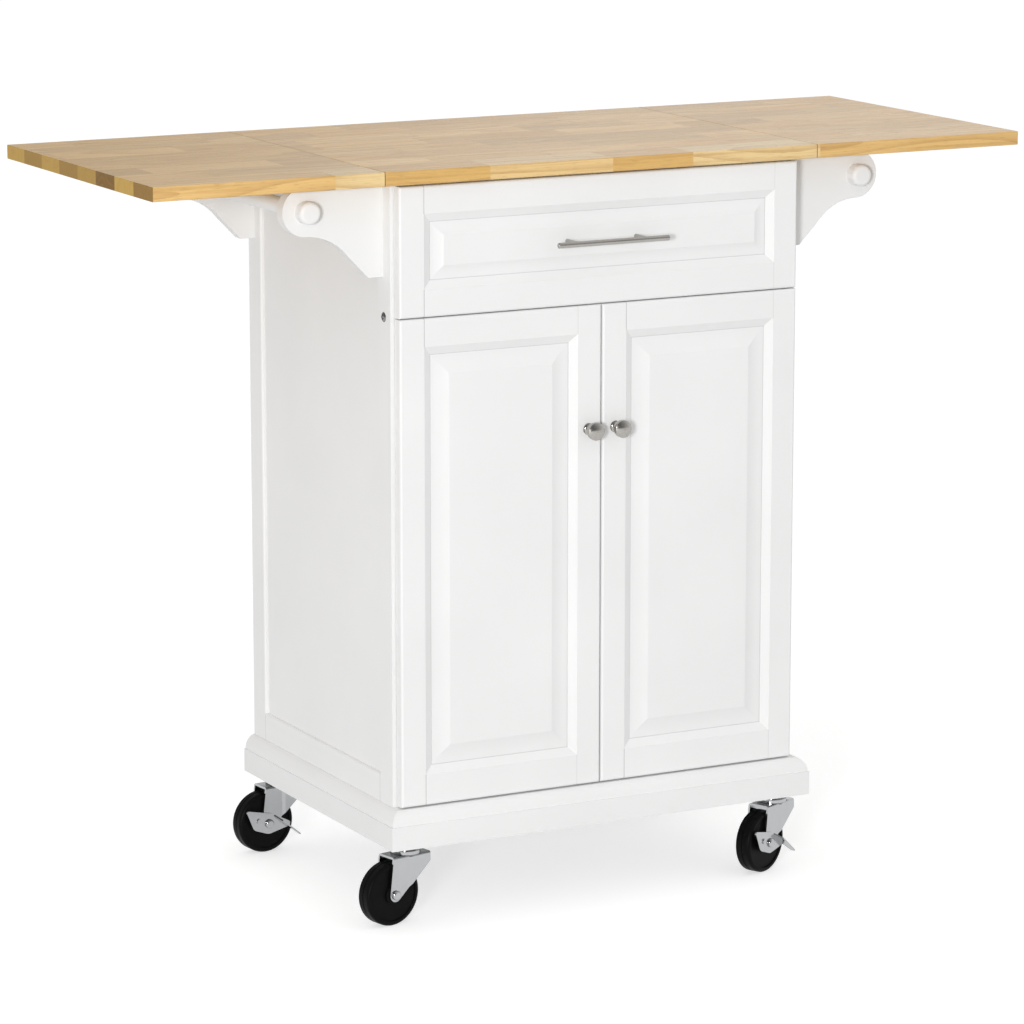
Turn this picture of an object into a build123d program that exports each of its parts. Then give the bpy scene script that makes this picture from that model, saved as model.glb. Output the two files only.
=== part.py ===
from build123d import *

import os
from math import cos, radians, sin

# Kitchen island cart: a painted frame-and-panel cabinet on four swivel casters, with one
# drawer, a pair of doors, a butcher-block worktop and two leaves carried on corbels.
# Millimetres, +Z up, front towards -Y, origin on the floor below the middle of the cart.

# Worktop and leaves
TOP_WIDTH = 600.0
TOP_DEPTH = 464.0
TOP_THICK = 17.5
TOP_EDGE_ROUND = 1.5
FRONT_OVERHANG = 24.0
REAR_OVERHANG = 26.0
SIDE_OVERHANG = 17.0
LEAF_LENGTH = 299.4
SEAM_GAP = 0.6
BARREL_DIAMETER = 10.0
BARREL_LENGTH = 12.5
BARREL_SLOT_WIDTH = 3.0
BARREL_SLOT_DEPTH = 7.0
BARREL_INSET = 75.0

# Cabinet carcass
CARCASS_HEIGHT = 800.0
FRAME_THICK = 20.0
STILE_WIDTH = 36.0
SIDE_TOP_RAIL = 45.0
SIDE_BOTTOM_RAIL = 62.0
SIDE_PANEL_THICK = 6.0
SIDE_PANEL_RECESS = 5.0
SIDE_PANEL_GROOVE = 8.0
FRAME_EDGE_ROUND = 2.5
BACK_THICK = 6.0
BASE_THICK = 18.0
RAIL_THICK = 18.0
RAIL_DEPTH = 42.0
SHELF_THICK = 15.0
SHELF_RISE = 300.0
SHELF_SET_BACK = 12.0
SHELF_SIDE_PLAY = 0.5
SHELF_PIN_DIAMETER = 5.0
SHELF_PIN_LENGTH = 18.0
SHELF_PIN_BORE = 10.0

# Plinth
PLINTH_HEIGHT = 48.0
PLINTH_DROP = 3.0
PLINTH_THICK = 15.0
PLINTH_FACE = 30.0
PLINTH_STEP = 2.0
PLINTH_LIP = 2.0
PLINTH_BULGE = 2.5

# Doors and drawer front
FRONT_THICK = 14.0
FRONT_GAP = 1.0
FRONT_INSET = 5.5
FRONT_EDGE_ROUND = 3.0
DOOR_SPLIT = 1.8
DRAWER_DOOR_GAP = 1.2
UNDER_TOP_GAP = 3.0
OVER_PLINTH_GAP = 1.5
DRAWER_FRONT_HEIGHT = 160.0
FRONT_STILE = 33.0
DOOR_TOP_RAIL = 35.0
DOOR_BOTTOM_RAIL = 39.0
DRAWER_RAIL = 34.0
STICKING_WIDTH = 10.0
STICKING_STEP = 0.6
STICKING_DROP = 5.0
STICKING_LAND = 0.8
PANEL_REBATE = 6.0
PANEL_PLAY = 0.5
PANEL_SUNK = 2.3
DOOR_BEVEL = 24.0
DRAWER_BEVEL = 17.0

# Drawer box and runners
DRAWER_REAR_GAP = 37.0
DRAWER_SIDE_THICK = 12.0
DRAWER_SIDE_HEIGHT = 102.0
DRAWER_RISE = 9.0
DRAWER_BOTTOM_THICK = 5.0
DRAWER_BOTTOM_RISE = 10.0
DRAWER_GROOVE = 5.0
RUNNER_SPACE = 12.7
RUNNER_HEIGHT = 36.0
RUNNER_REAR_GAP = 25.0
RUNNER_WALL = 1.5
RUNNER_PLAY = 0.4
RUNNER_RISE = 30.0
RUNNER_SET_BACK = 6.0

# Pull, knobs and door hinges
PULL_LENGTH = 154.0
PULL_DIAMETER = 7.0
PULL_END_ROUND = 1.0
PULL_CENTRES = 96.0
PULL_STANDOFF = 29.0
PULL_POST_DIAMETER = 5.5
KNOB_DIAMETER = 22.0
KNOB_LENGTH = 25.0
KNOB_BASE_DIAMETER = 15.0
KNOB_BASE_LENGTH = 1.5
KNOB_NECK_DIAMETER = 11.0
KNOB_NECK_REACH = 7.0
KNOB_RIM_REACH = 20.5
KNOB_RIM_LENGTH = 1.5
KNOB_FROM_EDGE = 18.0
KNOB_BELOW_DOOR_TOP = 154.5
CUP_DIAMETER = 26.0
CUP_DEPTH = 10.0
CUP_WALL = 1.2
CUP_FROM_EDGE = 19.5
CUP_FLANGE_WIDTH = 12.0
CUP_FLANGE_HEIGHT = 44.0
CUP_FLANGE_THICK = 1.5
HINGE_LINK_WIDTH = 6.0
HINGE_LINK_REACH = 8.0
HINGE_LINK_HEIGHT = 10.0
HINGE_ARM_GAP = 0.6
HINGE_ARM_LENGTH = 26.0
HINGE_ARM_HEIGHT = 14.0
HINGE_ARM_DEPTH = 11.0
HINGE_PLATE_LENGTH = 18.0
HINGE_PLATE_HEIGHT = 40.0
HINGE_PLATE_THICK = 2.0
HINGE_INSET = 90.0

# Corbels and towel bars
CORBEL_THICK = 17.0
CORBEL_FRONT_SET_BACK = 20.0
CORBEL_REAR_SET_BACK = 1.0
CORBEL_HEIGHT = 115.0
CORBEL_NOSE_REACH = 102.0
CORBEL_NOSE_RADIUS = 30.0
CORBEL_WAIST_REACH = 46.0
CORBEL_WAIST_DROP = 87.5
CORBEL_FOOT_REACH = 19.0
LEAF_REST_GAP = 0.3
TOWEL_BAR_DIAMETER = 20.0
TOWEL_CAP_DIAMETER = 28.0
TOWEL_CAP_LENGTH = 17.0
TOWEL_CAP_ROUND = 5.0

# Casters
CASTER_HEIGHT = 103.0
CASTER_INSET = 35.0
CASTER_TRAIL = 27.0
STEM_DIAMETER = 10.0
STEM_BORE = 14.0
RACE_DIAMETER = 38.0
RACE_COLLAR_DIAMETER = 26.0
RACE_THICK = 4.0
KINGPIN_HEAD_DIAMETER = 18.0
KINGPIN_HEAD_THICK = 2.5
WHEEL_DIAMETER = 80.0
WHEEL_WIDTH = 22.0
WHEEL_ROUND = 4.0
WHEEL_RIM = 6.0
WHEEL_RECESS = 1.5
TREAD_GROOVE_WIDTH = 1.6
TREAD_GROOVE_DEPTH = 0.7
HUB_WIDTH = 25.0
HUB_DIAMETER = 25.0
AXLE_DIAMETER = 8.0
AXLE_HEAD_DIAMETER = 12.0
AXLE_HEAD_THICK = 3.5
AXLE_HEAD_ROUND = 2.5
FORK_WALL = 2.5
FORK_BEND = 3.0
FORK_TOP_CLEARANCE = 5.5
FORK_LEAD = 26.0
FORK_TAIL = 30.0
FORK_SKIRT = 12.0
FORK_FOOT_RADIUS = 8.5
FORK_JOGGLE = 2.0
FORK_JOGGLE_START = 2.0
FORK_JOGGLE_RUN = 4.0
RUNNING_PLAY = 0.05
SIDE_PLAY = 0.3
BRAKE_THICK = 2.0
BRAKE_EYE_RADIUS = 13.5
BRAKE_BULGE_RADIUS = 9.5
BRAKE_BULGE_REACH = 16.0
BRAKE_BULGE_RISE = 1.5
BRAKE_TIP_RADIUS = 2.5
BRAKE_TIP_REACH = 30.5
BRAKE_TIP_RISE = 18.0
BRAKE_HEEL_RADIUS = 4.0
BRAKE_HEEL_REACH = 27.5
BRAKE_HEEL_DROP = 3.5
BRAKE_RIVET_RADIUS = 3.5
BRAKE_RIVET_THICK = 1.6
BRAKE_RIVET_REACH = 15.0
BRAKE_RIVET_RISE = 5.0
PEDAL_ROOT_REACH = 8.0
PEDAL_ROOT_RISE = 11.06
PEDAL_TIP_REACH = 42.0
PEDAL_TIP_DROP = 17.0
PEDAL_WIDTH = 12.0
PEDAL_LEVEL = 24.0
PEDAL_SHOULDER = 10.0
PEDAL_TIP_INSET = 6.0
FRONT_LEFT_YAW = 12.0
FRONT_RIGHT_YAW = 25.0
REAR_LEFT_YAW = 6.0
REAR_RIGHT_YAW = 18.0

# Heights above the floor
base_top = CASTER_HEIGHT + BASE_THICK
top_under = base_top + CARCASS_HEIGHT
plinth_under = CASTER_HEIGHT - PLINTH_DROP
plinth_top = plinth_under + PLINTH_HEIGHT
drawer_front_top = top_under - UNDER_TOP_GAP
drawer_front_bottom = drawer_front_top - DRAWER_FRONT_HEIGHT
door_top = drawer_front_bottom - DRAWER_DOOR_GAP
door_bottom = plinth_top + OVER_PLINTH_GAP
divider_middle = drawer_front_bottom - DRAWER_DOOR_GAP
divider_top = divider_middle + RAIL_THICK / 2
carcass_mid_z = base_top + CARCASS_HEIGHT / 2

# Depths, with the reach from the pull to the worktop's rear edge centred on the origin
carcass_depth = TOP_DEPTH - FRONT_OVERHANG - REAR_OVERHANG
pull_reach = FRONT_GAP + FRONT_THICK + PULL_STANDOFF + PULL_DIAMETER / 2
carcass_front = (pull_reach + FRONT_OVERHANG - TOP_DEPTH) / 2
carcass_back = carcass_front + carcass_depth
carcass_mid_y = carcass_front + carcass_depth / 2
top_mid_y = carcass_front - FRONT_OVERHANG + TOP_DEPTH / 2
front_rear = carcass_front - FRONT_GAP
front_face = front_rear - FRONT_THICK
plinth_line = front_face + FRONT_GAP
back_face = carcass_back - BACK_THICK
drawer_rear = back_face - DRAWER_REAR_GAP
drawer_length = drawer_rear - front_rear
drawer_mid_y = front_rear + drawer_length / 2

# Widths from the middle plane
carcass_width = TOP_WIDTH - 2 * SIDE_OVERHANG
carcass_half = carcass_width / 2
inner_half = carcass_half - FRAME_THICK
front_half = carcass_half - FRONT_INSET
box_half = inner_half - RUNNER_SPACE
seam_outer = TOP_WIDTH / 2 + SEAM_GAP

SIDES = (("left", -1), ("right", 1))
ENDS = (("front", -1), ("rear", 1))
ALONG_X = (0, 90, 0)
ALONG_Y = (90, 0, 0)

os.makedirs("parts", exist_ok=True)


def save(piece, name):
    """Label a finished piece and write its file."""
    piece.label = name
    export_step(piece, f"parts/{name}.step")


# Worktop and leaves: edge-glued slabs, with blind bores in the meeting edges for the
# concealed barrel hinges on which each leaf folds up and over onto the worktop
barrel_z = top_under + TOP_THICK / 2
barrel_bore = BARREL_LENGTH + SIDE_PLAY
barrel_ys = [top_mid_y + end * (TOP_DEPTH / 2 - BARREL_INSET) for _, end in ENDS]


def barrel_places(mouth, inward, length):
    """Places along the hinge edge at x = mouth, half of length into the wood."""
    return [Location((mouth + inward * length / 2, y, barrel_z), ALONG_X) for y in barrel_ys]


def slab(middle_x, length, bored_ends):
    """A worktop slab with bores in its ends, given as pairs of mouth and inward direction."""
    with BuildPart() as board:
        with Locations((middle_x, top_mid_y, barrel_z)):
            Box(length, TOP_DEPTH, TOP_THICK)
        fillet(board.edges().filter_by(Axis.X), TOP_EDGE_ROUND)
        for mouth, inward in bored_ends:
            with Locations(*barrel_places(mouth, inward, barrel_bore)):
                Cylinder(BARREL_DIAMETER / 2 + RUNNING_PLAY, barrel_bore, mode=Mode.SUBTRACT)
    return board.part


def barrels(bored_ends):
    """Slotted hinge barrels that fill the bores of a slab."""
    with BuildPart() as sleeves:
        for mouth, inward in bored_ends:
            with Locations(*barrel_places(mouth, inward, BARREL_LENGTH)):
                Cylinder(BARREL_DIAMETER / 2, BARREL_LENGTH)
            with Locations(*barrel_places(mouth, inward, BARREL_SLOT_DEPTH)):
                Box(BARREL_DIAMETER, BARREL_SLOT_WIDTH, BARREL_SLOT_DEPTH, mode=Mode.SUBTRACT)
    return sleeves.part


worktop_ends = [(side * TOP_WIDTH / 2, -side) for _, side in SIDES]
save(slab(0, TOP_WIDTH, worktop_ends), "worktop")
save(barrels(worktop_ends), "worktop_hinge_barrels")
for name, side in SIDES:
    leaf_end = [(side * seam_outer, side)]
    save(slab(side * (seam_outer + LEAF_LENGTH / 2), LEAF_LENGTH, leaf_end), f"{name}_leaf")
    save(barrels(leaf_end), f"{name}_leaf_hinge_barrels")

# Cabinet sides: a glued frame of stiles and rails, grooved for a flat sunk panel, with
# bores in the stiles for the shelf pins
opening_width = carcass_depth - 2 * STILE_WIDTH
opening_height = CARCASS_HEIGHT - SIDE_TOP_RAIL - SIDE_BOTTOM_RAIL
opening_mid_z = base_top + SIDE_BOTTOM_RAIL + opening_height / 2
shelf_under = base_top + SHELF_RISE
pin_z = shelf_under - SHELF_PIN_DIAMETER / 2
pin_ys = (carcass_front + STILE_WIDTH / 2 + SHELF_SET_BACK / 2, carcass_back - STILE_WIDTH / 2)


def pin_places(side, inmost, length):
    """Places of the shelf pins of one side, whose inmost ends stand at inmost."""
    return [Location((side * (inmost + length / 2), y, pin_z), ALONG_X) for y in pin_ys]


for name, side in SIDES:
    outer = Plane.YZ.offset(side * carcass_half)
    with BuildPart() as side_frame:
        with BuildSketch(outer):
            with Locations((carcass_mid_y, carcass_mid_z)):
                Rectangle(carcass_depth, CARCASS_HEIGHT)
            with Locations((carcass_mid_y, opening_mid_z)):
                Rectangle(opening_width, opening_height, mode=Mode.SUBTRACT)
        extrude(amount=-side * FRAME_THICK)
        outer_face = side_frame.faces().sort_by(Axis.X, reverse=side > 0)[0]
        fillet(outer_face.inner_wires().edges(), FRAME_EDGE_ROUND)
        with BuildSketch(outer.offset(-side * SIDE_PANEL_RECESS)):
            with Locations((carcass_mid_y, opening_mid_z)):
                Rectangle(opening_width + 2 * SIDE_PANEL_GROOVE, opening_height + 2 * SIDE_PANEL_GROOVE)
        extrude(amount=-side * SIDE_PANEL_THICK, mode=Mode.SUBTRACT)
        with Locations(*pin_places(side, inner_half, SHELF_PIN_BORE + SIDE_PLAY)):
            Cylinder(
                SHELF_PIN_DIAMETER / 2 + RUNNING_PLAY, SHELF_PIN_BORE + SIDE_PLAY, mode=Mode.SUBTRACT
            )
    save(side_frame.part, f"{name}_side_frame")

    with BuildPart() as side_panel:
        tongue = SIDE_PANEL_GROOVE - PANEL_PLAY
        with BuildSketch(outer.offset(-side * SIDE_PANEL_RECESS)):
            with Locations((carcass_mid_y, opening_mid_z)):
                Rectangle(opening_width + 2 * tongue, opening_height + 2 * tongue)
        extrude(amount=-side * SIDE_PANEL_THICK)
    save(side_panel.part, f"{name}_side_panel")

# Back panel between the rear stiles
with BuildPart() as back_panel:
    with Locations((0, carcass_back - BACK_THICK / 2, carcass_mid_z)):
        Box(2 * inner_half, BACK_THICK, CARCASS_HEIGHT)
save(back_panel.part, "back_panel")

# Base board that carries the sides and takes the caster stems
plinth_half = carcass_half + PLINTH_THICK
plinth_front = plinth_line - PLINTH_THICK
caster_x = plinth_half - CASTER_INSET
caster_ys = {"front": plinth_front + CASTER_INSET, "rear": carcass_back - CASTER_INSET}
caster_spots = [(side * caster_x, y) for y in caster_ys.values() for _, side in SIDES]

with BuildPart() as base_board:
    base_depth = carcass_back - PLINTH_THICK - plinth_line
    with Locations((0, plinth_line + base_depth / 2, CASTER_HEIGHT + BASE_THICK / 2)):
        Box(carcass_width, base_depth, BASE_THICK)
    with Locations(*[(x, y, CASTER_HEIGHT + STEM_BORE / 2) for x, y in caster_spots]):
        Cylinder(STEM_DIAMETER / 2 + RUNNING_PLAY, STEM_BORE, mode=Mode.SUBTRACT)
save(base_board.part, "base_board")

# Bottom rail on the base board, behind the front plinth and below the doors
with BuildPart() as bottom_rail:
    rail_depth = carcass_front - plinth_line
    rail_height = plinth_top - base_top
    with Locations((0, plinth_line + rail_depth / 2, base_top + rail_height / 2)):
        Box(carcass_width, rail_depth, rail_height)
save(bottom_rail.part, "bottom_rail")


def plinth_run(start, outward, along, length):
    """A length of plinth board with its moulded upper edge, not yet mitred."""
    with BuildPart() as run:
        with BuildSketch(Plane(origin=start, x_dir=outward, z_dir=along)):
            with BuildLine():
                mould_foot = (PLINTH_THICK - PLINTH_STEP, PLINTH_FACE)
                mould_head = (PLINTH_LIP, PLINTH_HEIGHT)
                mould_middle = (
                    (mould_foot[0] + mould_head[0]) / 2 + PLINTH_BULGE,
                    (mould_foot[1] + mould_head[1]) / 2 + PLINTH_BULGE,
                )
                face_top = (PLINTH_THICK, PLINTH_FACE)
                Polyline(mould_head, (0, PLINTH_HEIGHT), (0, 0), (PLINTH_THICK, 0), face_top, mould_foot)
                ThreePointArc(mould_foot, mould_middle, mould_head)
            make_face()
        extrude(amount=length)
    return run.part


# Plinth: moulded boards, mitred at the front corners, and a plain strip at the rear
with BuildPart() as front_plinth:
    add(plinth_run((plinth_half, plinth_line, plinth_under), (0, -1, 0), (-1, 0, 0), 2 * plinth_half))
    with BuildSketch(Plane.XY.offset(plinth_under)):
        for _, side in SIDES:
            Polygon(
                (side * plinth_half, plinth_front),
                (side * plinth_half, plinth_line),
                (side * carcass_half, plinth_line),
                align=None,
            )
    extrude(amount=PLINTH_HEIGHT, mode=Mode.SUBTRACT)
save(front_plinth.part, "front_plinth")

side_plinth_length = carcass_back - plinth_front
for name, side in SIDES:
    start_y = plinth_front if side < 0 else carcass_back
    with BuildPart() as side_plinth:
        add(
            plinth_run(
                (side * carcass_half, start_y, plinth_under), (side, 0, 0), (0, -side, 0), side_plinth_length
            )
        )
        with BuildSketch(Plane.XY.offset(plinth_under)):
            Polygon(
                (side * plinth_half, plinth_front),
                (side * carcass_half, plinth_line),
                (side * carcass_half, plinth_front),
                align=None,
            )
        extrude(amount=PLINTH_HEIGHT, mode=Mode.SUBTRACT)
    save(side_plinth.part, f"{name}_plinth")

with BuildPart() as rear_plinth:
    strip_height = base_top - plinth_under
    with Locations((0, carcass_back - PLINTH_THICK / 2, plinth_under + strip_height / 2)):
        Box(carcass_width, PLINTH_THICK, strip_height)
save(rear_plinth.part, "rear_plinth")

# Rails between the sides: two under the worktop and the divider below the drawer
rail_front_y = carcass_front + RAIL_DEPTH / 2
rail_rear_y = back_face - RAIL_DEPTH / 2
with BuildPart() as top_rails:
    with Locations(*[(0, y, top_under - RAIL_THICK / 2) for y in (rail_front_y, rail_rear_y)]):
        Box(2 * inner_half, RAIL_DEPTH, RAIL_THICK)
save(top_rails.part, "top_rails")

with BuildPart() as drawer_divider:
    with Locations((0, rail_front_y, divider_middle)):
        Box(2 * inner_half, RAIL_DEPTH, RAIL_THICK)
save(drawer_divider.part, "drawer_divider")

# Loose shelf on four pins
with BuildPart() as shelf:
    shelf_depth = back_face - carcass_front - SHELF_SET_BACK - SHELF_SIDE_PLAY
    with Locations((0, carcass_front + SHELF_SET_BACK + shelf_depth / 2, shelf_under + SHELF_THICK / 2)):
        Box(2 * (inner_half - SHELF_SIDE_PLAY), shelf_depth, SHELF_THICK)
    fillet(shelf.edges().filter_by(Axis.X).sort_by(Axis.Y)[:2], FRONT_EDGE_ROUND)
save(shelf.part, "shelf")

with BuildPart() as shelf_pins:
    for _, side in SIDES:
        with Locations(*pin_places(side, inner_half + SHELF_PIN_BORE - SHELF_PIN_LENGTH, SHELF_PIN_LENGTH)):
            Cylinder(SHELF_PIN_DIAMETER / 2, SHELF_PIN_LENGTH)
save(shelf_pins.part, "shelf_pins")

# Corbels under the leaves, and the towel bars that join them on each side
corbel_top = top_under - LEAF_REST_GAP
corbel_front = {
    "front": carcass_front + CORBEL_FRONT_SET_BACK,
    "rear": carcass_back - CORBEL_REAR_SET_BACK - CORBEL_THICK,
}
towel_z = corbel_top - CORBEL_NOSE_RADIUS
towel_x = carcass_half + CORBEL_NOSE_REACH
towel_ends = (corbel_front["front"], corbel_front["rear"] + CORBEL_THICK)

for side_name, side in SIDES:
    for end_name, _ in ENDS:
        near_y = corbel_front[end_name] if side < 0 else corbel_front[end_name] + CORBEL_THICK
        corner = (side * carcass_half, near_y, corbel_top)
        profile = Plane(origin=corner, x_dir=(side, 0, 0), z_dir=(0, -side, 0))
        with BuildPart() as corbel:
            with BuildSketch(profile):
                with BuildLine():
                    nose_top = (CORBEL_NOSE_REACH, 0)
                    nose_tip = (CORBEL_NOSE_REACH + CORBEL_NOSE_RADIUS, -CORBEL_NOSE_RADIUS)
                    nose_under = (CORBEL_NOSE_REACH, -2 * CORBEL_NOSE_RADIUS)
                    waist = (CORBEL_WAIST_REACH, -CORBEL_WAIST_DROP)
                    foot = (CORBEL_FOOT_REACH, -CORBEL_HEIGHT)
                    ThreePointArc(nose_top, nose_tip, nose_under)
                    TangentArc(nose_under, waist, tangent=(-1, 0))
                    Polyline(waist, foot, (0, -CORBEL_HEIGHT), (0, 0), nose_top)
                make_face()
            extrude(amount=CORBEL_THICK)
            with Locations(Location((side * towel_x, near_y, towel_z), ALONG_Y)):
                Cylinder(TOWEL_BAR_DIAMETER / 2 + RUNNING_PLAY, 2 * CORBEL_THICK, mode=Mode.SUBTRACT)
        save(corbel.part, f"{side_name}_{end_name}_corbel")

    with BuildPart() as towel_bar:
        bar_length = towel_ends[1] - towel_ends[0]
        with Locations(Location((side * towel_x, towel_ends[0] + bar_length / 2, towel_z), ALONG_Y)):
            Cylinder(TOWEL_BAR_DIAMETER / 2, bar_length)
    save(towel_bar.part, f"{side_name}_towel_bar")

with BuildPart() as towel_caps:
    for _, side in SIDES:
        for (_, end), face_y in zip(ENDS, towel_ends):
            cap_y = face_y + end * TOWEL_CAP_LENGTH / 2
            with Locations(Location((side * towel_x, cap_y, towel_z), ALONG_Y)):
                Cylinder(TOWEL_CAP_DIAMETER / 2, TOWEL_CAP_LENGTH)
    cap_rims = towel_caps.edges().filter_by(GeomType.CIRCLE).group_by(Axis.Y)
    fillet(cap_rims[0] + cap_rims[-1], TOWEL_CAP_ROUND)
save(towel_caps.part, "towel_bar_caps")

# Drawer runners: a steel channel on each cabinet side and a smaller one, the bar, on
# each drawer side, which slides inside it with its own open side outwards
drawer_under = divider_top + DRAWER_RISE
runner_z = drawer_under + RUNNER_RISE + RUNNER_HEIGHT / 2
runner_front = carcass_front + RUNNER_SET_BACK
runner_length = drawer_rear - RUNNER_REAR_GAP - runner_front
runner_mid_y = runner_front + runner_length / 2
channel_depth = RUNNER_SPACE - RUNNER_WALL
with BuildPart() as runner_channels:
    for _, side in SIDES:
        with Locations((side * (inner_half - channel_depth / 2), runner_mid_y, runner_z)):
            Box(channel_depth, runner_length, RUNNER_HEIGHT)
        with Locations((side * (inner_half - RUNNER_WALL - channel_depth / 2), runner_mid_y, runner_z)):
            Box(channel_depth, runner_length, RUNNER_HEIGHT - 2 * RUNNER_WALL, mode=Mode.SUBTRACT)
save(runner_channels.part, "drawer_runner_channels")

with BuildPart() as runner_bars:
    bar_depth = RUNNER_SPACE - RUNNER_WALL - RUNNER_PLAY
    bar_height = RUNNER_HEIGHT - 2 * RUNNER_WALL - 2 * RUNNER_PLAY
    for _, side in SIDES:
        with Locations((side * (box_half + bar_depth / 2), runner_mid_y, runner_z)):
            Box(bar_depth, runner_length, bar_height)
        with Locations((side * (box_half + RUNNER_WALL + bar_depth / 2), runner_mid_y, runner_z)):
            Box(bar_depth, runner_length, bar_height - 2 * RUNNER_WALL, mode=Mode.SUBTRACT)
save(runner_bars.part, "drawer_runner_bars")

# Drawer box: grooved sides, a back that stands on the bottom, and the bottom itself
bottom_z = drawer_under + DRAWER_BOTTOM_RISE + DRAWER_BOTTOM_THICK / 2
box_inner_half = box_half - DRAWER_SIDE_THICK
with BuildPart() as drawer_sides:
    for _, side in SIDES:
        side_x = side * (box_half - DRAWER_SIDE_THICK / 2)
        with Locations((side_x, drawer_mid_y, drawer_under + DRAWER_SIDE_HEIGHT / 2)):
            Box(DRAWER_SIDE_THICK, drawer_length, DRAWER_SIDE_HEIGHT)
        with Locations((side * (box_inner_half + DRAWER_GROOVE / 2), drawer_mid_y, bottom_z)):
            Box(DRAWER_GROOVE, drawer_length, DRAWER_BOTTOM_THICK, mode=Mode.SUBTRACT)
save(drawer_sides.part, "drawer_sides")

with BuildPart() as drawer_bottom:
    with Locations((0, drawer_mid_y, bottom_z)):
        Box(2 * (box_inner_half + DRAWER_GROOVE - PANEL_PLAY), drawer_length, DRAWER_BOTTOM_THICK)
save(drawer_bottom.part, "drawer_bottom")

with BuildPart() as drawer_back:
    back_under = bottom_z + DRAWER_BOTTOM_THICK / 2
    back_height = drawer_under + DRAWER_SIDE_HEIGHT - back_under
    with Locations((0, drawer_rear - DRAWER_SIDE_THICK / 2, back_under + back_height / 2)):
        Box(2 * box_inner_half, DRAWER_SIDE_THICK, back_height)
save(drawer_back.part, "drawer_back")


# Doors and drawer front: a frame with a stepped and sloped inner edge, rebated from
# behind for a raised panel whose hollowed margin climbs to a flat field
slope_foot = STICKING_STEP + STICKING_DROP
sticking_depth = slope_foot + STICKING_LAND


class Front:
    """Places of one framed front, from its outer edges, its rails and its bevel."""

    def __init__(self, left, right, low, high, low_rail, high_rail, bevel):
        self.width = right - left
        self.height = high - low
        self.middle = ((left + right) / 2, (low + high) / 2)
        self.open_width = self.width - 2 * (FRONT_STILE + STICKING_WIDTH)
        self.open_height = self.height - low_rail - high_rail - 2 * STICKING_WIDTH
        self.open_shift = (low_rail - high_rail) / 2
        self.bevel = bevel

    def plane(self, depth):
        """The plane that lies depth behind the front face, seen from the front."""
        return Plane(
            origin=(self.middle[0], front_face + depth, self.middle[1]), x_dir=(1, 0, 0), z_dir=(0, -1, 0)
        )

    def rectangle(self, grown):
        """The panel opening, grown on every side, drawn in the sketch that is open."""
        with Locations((0, self.open_shift)):
            Rectangle(self.open_width + 2 * grown, self.open_height + 2 * grown)

    def section(self, half, along, across):
        """The raised panel cut across its middle: a flat field with a hollowed margin at each end."""
        middle = (self.middle[0], front_face, self.middle[1] + self.open_shift)
        field = half - self.bevel
        rims = ((-half, sticking_depth), (half, sticking_depth))
        rears = ((-half, FRONT_THICK), (half, FRONT_THICK))
        with BuildSketch(Plane(origin=middle, x_dir=along, z_dir=across)) as section:
            with BuildLine():
                TangentArc(rims[0], (-field, PANEL_SUNK), tangent=(1, 0))
                Line((-field, PANEL_SUNK), (field, PANEL_SUNK))
                TangentArc(rims[1], (field, PANEL_SUNK), tangent=(-1, 0))
                Polyline(rims[1], rears[1], rears[0], rims[0])
            make_face()
        return section.sketch


def front_frame(front, cup_places=()):
    """The frame of a front, with blind bores for hinge cups where it is a door."""
    with BuildPart() as frame:
        with BuildSketch(front.plane(0)):
            Rectangle(front.width, front.height)
        extrude(amount=-FRONT_THICK)
        fillet(frame.faces().sort_by(Axis.Y)[0].edges(), FRONT_EDGE_ROUND)
        with BuildSketch(front.plane(0)):
            front.rectangle(STICKING_WIDTH)
        extrude(amount=-STICKING_STEP, mode=Mode.SUBTRACT)
        with BuildSketch(front.plane(STICKING_STEP)):
            front.rectangle(STICKING_WIDTH)
        with BuildSketch(front.plane(slope_foot)):
            front.rectangle(0)
        loft(ruled=True, mode=Mode.SUBTRACT)
        with BuildSketch(front.plane(slope_foot)):
            front.rectangle(0)
        extrude(amount=slope_foot - FRONT_THICK, mode=Mode.SUBTRACT)
        with BuildSketch(front.plane(FRONT_THICK)):
            front.rectangle(PANEL_REBATE)
        extrude(amount=FRONT_THICK - sticking_depth, mode=Mode.SUBTRACT)
        for x, z in cup_places:
            with Locations(Location((x, front_rear - CUP_DEPTH / 2, z), ALONG_Y)):
                Cylinder(CUP_DIAMETER / 2 + RUNNING_PLAY, CUP_DEPTH, mode=Mode.SUBTRACT)
    return frame.part


def front_panel(front):
    """The raised panel of a front: field and hollowed margins, on a plate that fills the rebate."""
    half_width = front.open_width / 2 - PANEL_PLAY
    half_height = front.open_height / 2 - PANEL_PLAY
    with BuildPart() as panel:
        extrude(front.section(half_width, (1, 0, 0), (0, 0, 1)), half_height, both=True)
        upright = front.section(half_height, (0, 0, 1), (-1, 0, 0))
        extrude(upright, half_width, both=True, mode=Mode.INTERSECT)
        with BuildSketch(front.plane(sticking_depth)):
            front.rectangle(PANEL_REBATE - PANEL_PLAY)
        extrude(amount=sticking_depth - FRONT_THICK)
    return panel.part


drawer_front = Front(
    -front_half, front_half, drawer_front_bottom, drawer_front_top, DRAWER_RAIL, DRAWER_RAIL, DRAWER_BEVEL
)
save(front_frame(drawer_front), "drawer_front_frame")
save(front_panel(drawer_front), "drawer_front_panel")

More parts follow.
